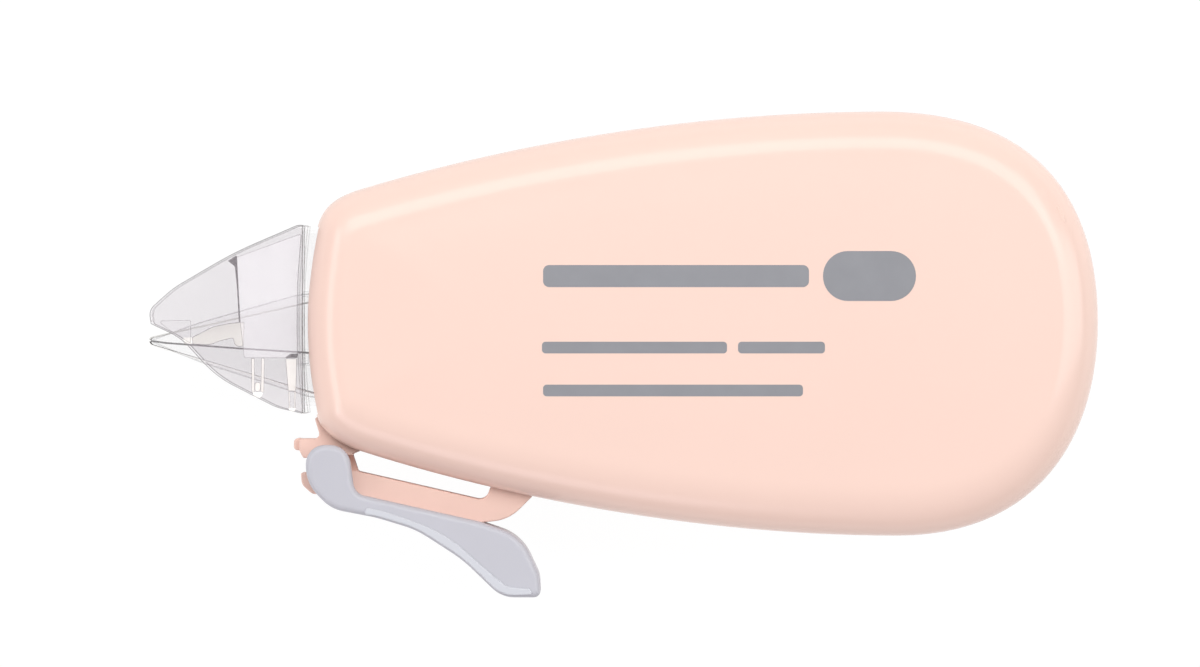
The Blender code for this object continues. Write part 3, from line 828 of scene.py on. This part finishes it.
def spring_steel():
    nodes = Nodes("spring_steel")
    brushed = nodes.noise(0.25, detail=5, where=nodes.stretched((1, 1, 0.2)))
    tint = nodes.ramp(brushed, [(0.3, srgb(172, 174, 178)), (0.7, srgb(204, 206, 210))])
    nodes.link(tint, nodes.shader.inputs["Base Color"])
    nodes.link(nodes.span(brushed, 0.2, 0.36), nodes.shader.inputs["Roughness"])
    nodes.bump(brushed, 0.003)
    nodes.set("Metallic", 1.0)
    return nodes.material


# Pieces


def block(name, low, high, half):
    """A box between two corners, round the middle of the thickness."""
    return stacked(name, [(rectangle(low, high), z) for z in around_middle(half)])


def towards_spine(loop, share):
    """The loop shrunk by this share towards the line that runs along the middle of the face."""
    moved = []
    for x, y in loop:
        near = min(max(x, SPINE_X[0]), SPINE_X[1])
        moved.append((x + (near - x) * share, y + (SPINE_Y - y) * share))
    return moved


def shell(name, side):
    """Half of the body: a hollow cup that rolls over into a crowned face. side is 1 in front, -1 behind."""
    roll = HALF_DEPTH - CROWN - ROLL_START
    outer = [
        (SEAM_GAP, body_loop(SEAM_CHAMFER)),
        (SEAM_GAP + SEAM_CHAMFER * FIRST_SEAM_STEP, body_loop(SEAM_CHAMFER * FIRST_SEAM_STEP)),
        (SEAM_GAP + SEAM_CHAMFER, body_loop(0.0)),
        (ROLL_START / 2, body_loop(0.0)),
    ]
    inner = [(SEAM_GAP, body_loop(WALL))]
    for step in range(ROLL_STEPS + 1):
        a = math.pi / 2 * step / ROLL_STEPS
        outer.append((ROLL_START + roll * math.sin(a), body_loop(FACE_INSET * (1 - math.cos(a)))))
        within = (FACE_INSET - WALL) * (1 - math.cos(a))
        inner.append((ROLL_START + (roll + CROWN - WALL) * math.sin(a), body_loop(WALL + within)))
    face = body_loop(FACE_INSET)
    for step in range(1, CROWN_STEPS + 1):
        share = CROWN_END * step / CROWN_STEPS
        outer.append((HALF_DEPTH - CROWN * (1 - share) ** 2, towards_spine(face, share)))
    rings = [(loop, MID_Z + side * depth) for depth, loop in inner[::-1] + outer]
    made = stacked(name, rings)
    return cut(made, [block("opening", low, high, half) for low, high, half in OPENINGS])


def shells():
    for name, side, node in (("body_front", 1, "front_shell"), ("body_rear", -1, "rear_shell")):
        half = shell(name, side)
        finish_piece(half, GLOSSY_PINK, "case", [node], even_normals=False)
    posts = [post("post", at, radius, INSIDE_FLOOR, top) for at, radius, top in POSTS]
    for at, radius in POST_STEPS:
        posts.append(turned("step", [(radius, INSIDE_FLOOR), (radius, POST_STEP_TOP)], at))
    posts += [post("pin", at, PIN_RADIUS, INSIDE_FLOOR, PIN_TOP) for at in LOCATING_PINS]
    finish_piece(joined("inner_posts", posts), GLOSSY_PINK, "case")
    sockets = [socket("socket", at, SOCKET_RADII, SOCKET_HEIGHTS) for at in LOCATING_PINS]
    finish_piece(joined("inner_sockets", sockets), GLOSSY_PINK, "case")


def face_height(x, y):
    """The height of the crowned front face over a point well inside it."""
    above = Vector((x * MM, y * MM, 2 * FRONT_Z * MM))
    hit, place, _, _ = bpy.data.objects["body_front"].ray_cast(above, Vector((0, 0, -1)))
    return place.z / MM if hit else FRONT_Z


def printed(name, low, high, radius):
    """A bar of ink with round corners that lies on the crowned face."""
    across = high[0] - low[0]
    up = high[1] - low[1]
    quarter = [math.pi / 2 * i / PRINT_END_STEPS for i in range(PRINT_END_STEPS + 1)]
    ends = [radius * (1 - math.cos(a)) for a in quarter]
    straight = across - 2 * radius
    middle = [radius + straight * i / PRINT_MIDDLE_STEPS for i in range(1, PRINT_MIDDLE_STEPS)]
    columns = ends + middle + [across - reach for reach in reversed(ends)]
    vertices = []
    for along in columns:
        from_end = min(along, across - along, radius)
        drop = radius - math.sqrt(max(0.0, radius**2 - (radius - from_end) ** 2))
        drop = min(drop, up / 2 - NARROWEST_HALF)
        for share in PRINT_ROWS:
            x = low[0] + along
            y = low[1] + drop + (up - 2 * drop) * share
            top = face_height(x, y) + INK
            vertices += [(x, y, top), (x, y, top - INK_THICKNESS)]
    # Even vertices of a column are its top, odd ones its underside
    column = 2 * len(PRINT_ROWS)
    faces = []
    for i in range(len(columns) - 1):
        here, there = i * column, (i + 1) * column
        for j in range(0, column - 2, 2):
            faces.append((here + j, there + j, there + j + 2, here + j + 2))
            faces.append((here + j + 1, here + j + 3, there + j + 3, there + j + 1))
        faces.append((here, here + 1, there + 1, there))
        faces.append((here + column - 2, there + column - 2, there + column - 1, here + column - 1))
    for here in (0, (len(columns) - 1) * column):
        faces += [(here + j, here + j + 1, here + j + 3, here + j + 2) for j in range(0, column - 2, 2)]
    finish_piece(mesh_object(name, vertices, faces), PRINT, "case")


def print_marks():
    """Plain bars and a pill in place of the printed words."""
    for name, (low, high, radius) in PRINT_MARKS.items():
        printed(name, low, high, radius)


def chassis():
    """The fork for the cap's pin, the bar under the body, and the small catch below it."""
    made = slab("chassis", rounded(CHASSIS_OUTLINE), around_middle(CHASSIS_HALF), edge=0.12)
    recesses = [
        stacked("recess", [(rectangle(*LINK_RECESS), z) for z in on_side(side, LINK_HALF, PAST_SIDE)])
        for side in (-1, 1)
    ]
    finish_piece(cut(made, recesses), MATTE_PINK, "case", ["chassis_frame"])
    end = slab("chassis_prong_end", rounded(PRONG_END_OUTLINE), around_middle(PRONG_END_HALF), edge=0.12)
    finish_piece(end, MATTE_PINK, "case")
    catch = slab("chassis_catch", rounded(CATCH_OUTLINE), around_middle(CATCH_HALF), edge=0.1)
    finish_piece(catch, MATTE_PINK, "case")


def bowed_plate(name, x, thickness, y, bow, half, edge):
    """An upright plate that bows towards the tip, with bow as the radius of its outer side."""
    low, high = y
    rise = math.asin((high - low) / 2 / bow)
    centre = (x + bow, (high + low) / 2)
    front = arc(centre, bow, math.pi + rise, math.pi - rise, BOW_STEPS)
    back = arc(centre, bow - thickness, math.pi - rise, math.pi + rise, BOW_STEPS)
    return slab(name, front + back, around_middle(half), edge, steps=2)


def guard_detail(name, looks, bodies):
    """Bodies on the inside of the guard's front plate, each an edge radius and an outline, as one piece."""
    slabs = [
        slab("detail", rounded(outline), (DETAIL_LOW, DETAIL_HIGH), edge, steps=2)
        for edge, outline in bodies
    ]
    finish_piece(joined(name, slabs), looks, "case")


def guard():
    """The clear beak: two side plates with a top wall, a bowed flange and a neck that enters the body."""
    made = slab("guard", rounded(GUARD_OUTLINE), around_middle(GUARD_HALF), edge=0.12)
    hollow = stacked("hollow", [(rounded(GUARD_HOLLOW), z) for z in around_middle(GUARD_INNER)])
    finish_piece(cut(made, [hollow]), (CLEAR, CLEAR_EDGE_SHADE), "case", ["head_guard"])
    neck = block("guard_neck", *NECK, NECK_HALF)
    tunnel_low = (NECK_TUNNEL_X[0], NECK[0][1] + NECK_WALL)
    tunnel_high = (NECK_TUNNEL_X[1], NECK[1][1] - NECK_WALL)
    tunnel = block("tunnel", tunnel_low, tunnel_high, GUARD_INNER)
    finish_piece(cut(neck, [tunnel]), (THIN_CLEAR, SOFT_EDGE_SHADE), "case")
    flange = bowed_plate(
        "guard_flange", FLANGE_X, FLANGE_THICKNESS, FLANGE_Y, FLANGE_BOW, FLANGE_HALF, edge=0.08
    )
    finish_piece(flange, (THIN_CLEAR, SOFT_EDGE_SHADE), "case")
    guard_detail("guard_panel", (PALE_PANEL_PAINTED_GLOW, SOFT_EDGE_SHADE), [(0.04, PANEL_OUTLINE)])
    # The strut and the wedge are drawn in the painted edge shade, as thin clear walls seen edge on.
    guard_detail("guard_strut", CLEAR_EDGE_SHADE, [(0.03, STRUT_OUTLINE)])
    guard_detail("guard_pad", (THIN_CLEAR, SOFT_EDGE_SHADE), [(0.04, PAD_OUTLINE)])
    guard_detail("guard_ribs", (CREAM_PAINTED_GLOW, SOFT_EDGE_SHADE), RIBS)
    guard_detail("guard_wedge", CLEAR_EDGE_SHADE, WEDGE)
    guard_detail("guard_post", (CREAM_PAINTED_GLOW, SOFT_EDGE_SHADE), GUARD_POST)
    guard_detail("guard_feet_glints", PAINTED_GLINT, FEET_GLINTS)
    guard_detail("guard_rails", (THIN_CLEAR, SOFT_EDGE_SHADE), RAILS)


def head():
    """The wedge that presses the tape on: two side plates, a thin web, the spring arm and its stop, which
    is a painted highlight.
    """
    plates = [
        slab("plate", rounded(HEAD_OUTLINE), on_side(side, HEAD_CHANNEL, HEAD_HALF), edge=0.09, steps=3)
        for side in (-1, 1)
    ]
    made = joined("head", plates)
    finish_piece(made, (THIN_CLEAR, HEAD_EDGE_SHADE), "case", ["applicator_head"])
    web = slab("head_web", rounded(WEB_OUTLINE), around_middle(WEB_HALF), edge=0.02, steps=2)
    # The web is drawn in the painted edge shade, as a thin clear wall seen edge on.
    finish_piece(web, CLEAR_EDGE_SHADE, "case")
    arm = slab("head_arm", rounded(ARM_OUTLINE), around_middle(ARM_HALF), edge=0.06, steps=3)
    finish_piece(arm, (CREAM_PAINTED_GLOW, SOFT_EDGE_SHADE), "case")
    stop = slab("head_stop_glint", rounded(STOP_OUTLINE), around_middle(STOP_HALF), edge=0.04, steps=2)
    finish_piece(stop, PAINTED_GLINT, "case")


def cap():
    """The smoky swing cap: a hollow scoop with a raised rim band on both sides, whose lighter colour is
    painted light, and its pin.
    """
    made = slab("cap", rounded(CAP_OUTLINE), around_middle(CAP_PLATE_HALF), edge=0.5, steps=8)
    hollow = stacked("cap_hollow", [(rounded(CAP_HOLLOW), z) for z in around_middle(CAP_INNER)])
    finish_piece(cut(made, [hollow]), SMOKY, "cap", ["tip_cap"])
    band = (CAP_PLATE_HALF - CAP_RIM_SUNK, CAP_PLATE_HALF + CAP_RIM_PROUD)
    rims = [slab("rim", rounded(CAP_RIM_OUTLINE), on_side(side, *band), edge=0.1) for side in (-1, 1)]
    finish_piece(joined("cap_rim", rims), SMOKY_RIM_PAINTED_LIGHT, "cap")
    pin_z = around_middle(CAP_INNER + CAP_PIN_BITE)
    pin = turned("cap_pin", [(CAP_PIN_RADIUS, z) for z in pin_z], HINGE_AT)
    finish_piece(pin, SMOKY, "cap")


def insides():
    """Gives the CAD nodes inside the body their looks."""
    looks = {
        "gear_cover": GREY,
        "supply_gear": WHITE_NYLON,
        "takeup_gear": WHITE_NYLON,
        "idler_gear": WHITE_NYLON,
        "supply_retainer": WHITE_NYLON,
        "takeup_retainer": WHITE_NYLON,
        "supply_spool": REEL,
        "supply_flange": REEL,
        "takeup_spool": REEL,
        "takeup_flange": REEL,
        "tape_roll": wound("tape_white", srgb(250, 250, 248), 0.6, SUPPLY_AT),
        "film_roll": wound("release_film", srgb(226, 226, 222), 0.25, TAKEUP_AT),
        "tape_feed": ribbon_look("tape_white_run", srgb(250, 250, 248), 0.6),
        "film_return": ribbon_look("release_film_run", srgb(226, 226, 222), 0.25),
    }
    steel = spring_steel()
    looks["clutch_washer"] = steel
    looks["clutch_spring"] = steel
    for node, look in looks.items():
        NODES[node].data.materials.clear()
        NODES[node].data.materials.append(look)


# Studio and camera, in metres

# How bright the surroundings are towards -Y and towards +Y
WORLD_NEAR = 0.16
WORLD_FAR = 0.52

# Each softbox: its place, what it points at, its width and height, its radiance and its colour
WHITE = (1.0, 1.0, 1.0)
SOFTBOXES = {
    "near_strip": ((-0.30, -0.46, 0.34), (-0.02, 0, 0), (0.6, 0.2), 1.9, (1.0, 0.86, 0.94)),
    "far_strip": ((0.02, 0.30, 0.56), (0, 0, 0), (0.9, 0.34), 2.6, WHITE),
    "right_strip": ((0.50, 0.05, 0.46), (0, 0, 0), (0.3, 0.7), 2.25, WHITE),
    "left_strip": ((-0.52, -0.08, 0.42), (0, 0, 0), (0.7, 0.2), 2.6, WHITE),
}

# Floor: a square just under the body, with a faint base colour and the glow that makes it white
FLOOR_REACH = 3.0
FLOOR_Z = -0.0001
FLOOR_BASE = 0.05
FLOOR_GLOW = 0.97

# Camera: its height over the middle of the body, the width it sees there and the point it looks down on
CAMERA_DISTANCE = 1.2
VIEW_WIDTH = 98.4 * MM
VIEW_CENTRE = (-2.17 * MM, 1.62 * MM)
SENSOR_WIDTH = 36.0
CLIP_START = 0.01
TRANSPARENT_BOUNCES = 32


def softbox(name, at, target, size, radiance, colour):
    """A rectangular light, hidden from the camera, whose surface has this radiance."""
    light = bpy.data.lights.new(name, "AREA")
    light.shape = "RECTANGLE"
    light.size, light.size_y = size
    light.energy = radiance * math.pi * size[0] * size[1]
    light.color = colour
    made = bpy.data.objects.new(name, light)
    made.location = at
    made.rotation_euler = (Vector(target) - Vector(at)).to_track_quat("-Z", "Y").to_euler()
    made.visible_camera = False
    bpy.context.scene.collection.objects.link(made)


def studio():
    """A white floor, soft light that falls off towards the near side, and four softboxes."""
    world = bpy.data.worlds.new("studio")
    world.use_nodes = True
    bpy.context.scene.world = world
    tree = world.node_tree
    direction = tree.nodes.new("ShaderNodeTexCoord").outputs["Generated"]
    split = tree.nodes.new("ShaderNodeSeparateXYZ")
    tree.links.new(direction, split.inputs["Vector"])
    level = tree.nodes.new("ShaderNodeMapRange")
    level.inputs["From Min"].default_value = -1.0
    level.inputs["From Max"].default_value = 1.0
    level.inputs["To Min"].default_value = WORLD_NEAR
    level.inputs["To Max"].default_value = WORLD_FAR
    tree.links.new(split.outputs["Y"], level.inputs["Value"])
    tree.links.new(level.outputs["Result"], tree.nodes["Background"].inputs["Strength"])
    tree.nodes["Background"].inputs["Color"].default_value = (*WHITE, 1.0)

    for name, settings in SOFTBOXES.items():
        softbox(name, *settings)

    floor = bpy.data.objects.new("floor", bpy.data.meshes.new("floor"))
    corners = rectangle((-FLOOR_REACH, -FLOOR_REACH), (FLOOR_REACH, FLOOR_REACH))
    floor.data.from_pydata([(x, y, FLOOR_Z) for x, y in corners], [], [(0, 1, 2, 3)])
    bpy.context.scene.collection.objects.link(floor)
    nodes = Nodes("floor")
    nodes.set("Base Color", (FLOOR_BASE, FLOOR_BASE, FLOOR_BASE, 1))
    nodes.set("Roughness", 0.9)
    nodes.set("Specular IOR Level", 0.0)
    nodes.set("Emission Color", (*WHITE, 1.0))
    nodes.set("Emission Strength", FLOOR_GLOW)
    floor.data.materials.append(nodes.material)


def camera():
    """Straight above the front, far enough away to leave little perspective."""
    data = bpy.data.cameras.new("camera")
    data.sensor_width = SENSOR_WIDTH
    data.lens = SENSOR_WIDTH * CAMERA_DISTANCE / VIEW_WIDTH
    data.clip_start = CLIP_START
    made = bpy.data.objects.new("camera", data)
    made.location = (*VIEW_CENTRE, MID_Z * MM + CAMERA_DISTANCE)
    bpy.context.scene.collection.objects.link(made)
    bpy.context.scene.camera = made
    bpy.context.scene.view_settings.view_transform = "Standard"
    bpy.context.scene.cycles.transparent_max_bounces = TRANSPARENT_BOUNCES


shells()
print_marks()
chassis()
guard()
head()
cap()
insides()
studio()
camera()

bpy.context.view_layer.update()
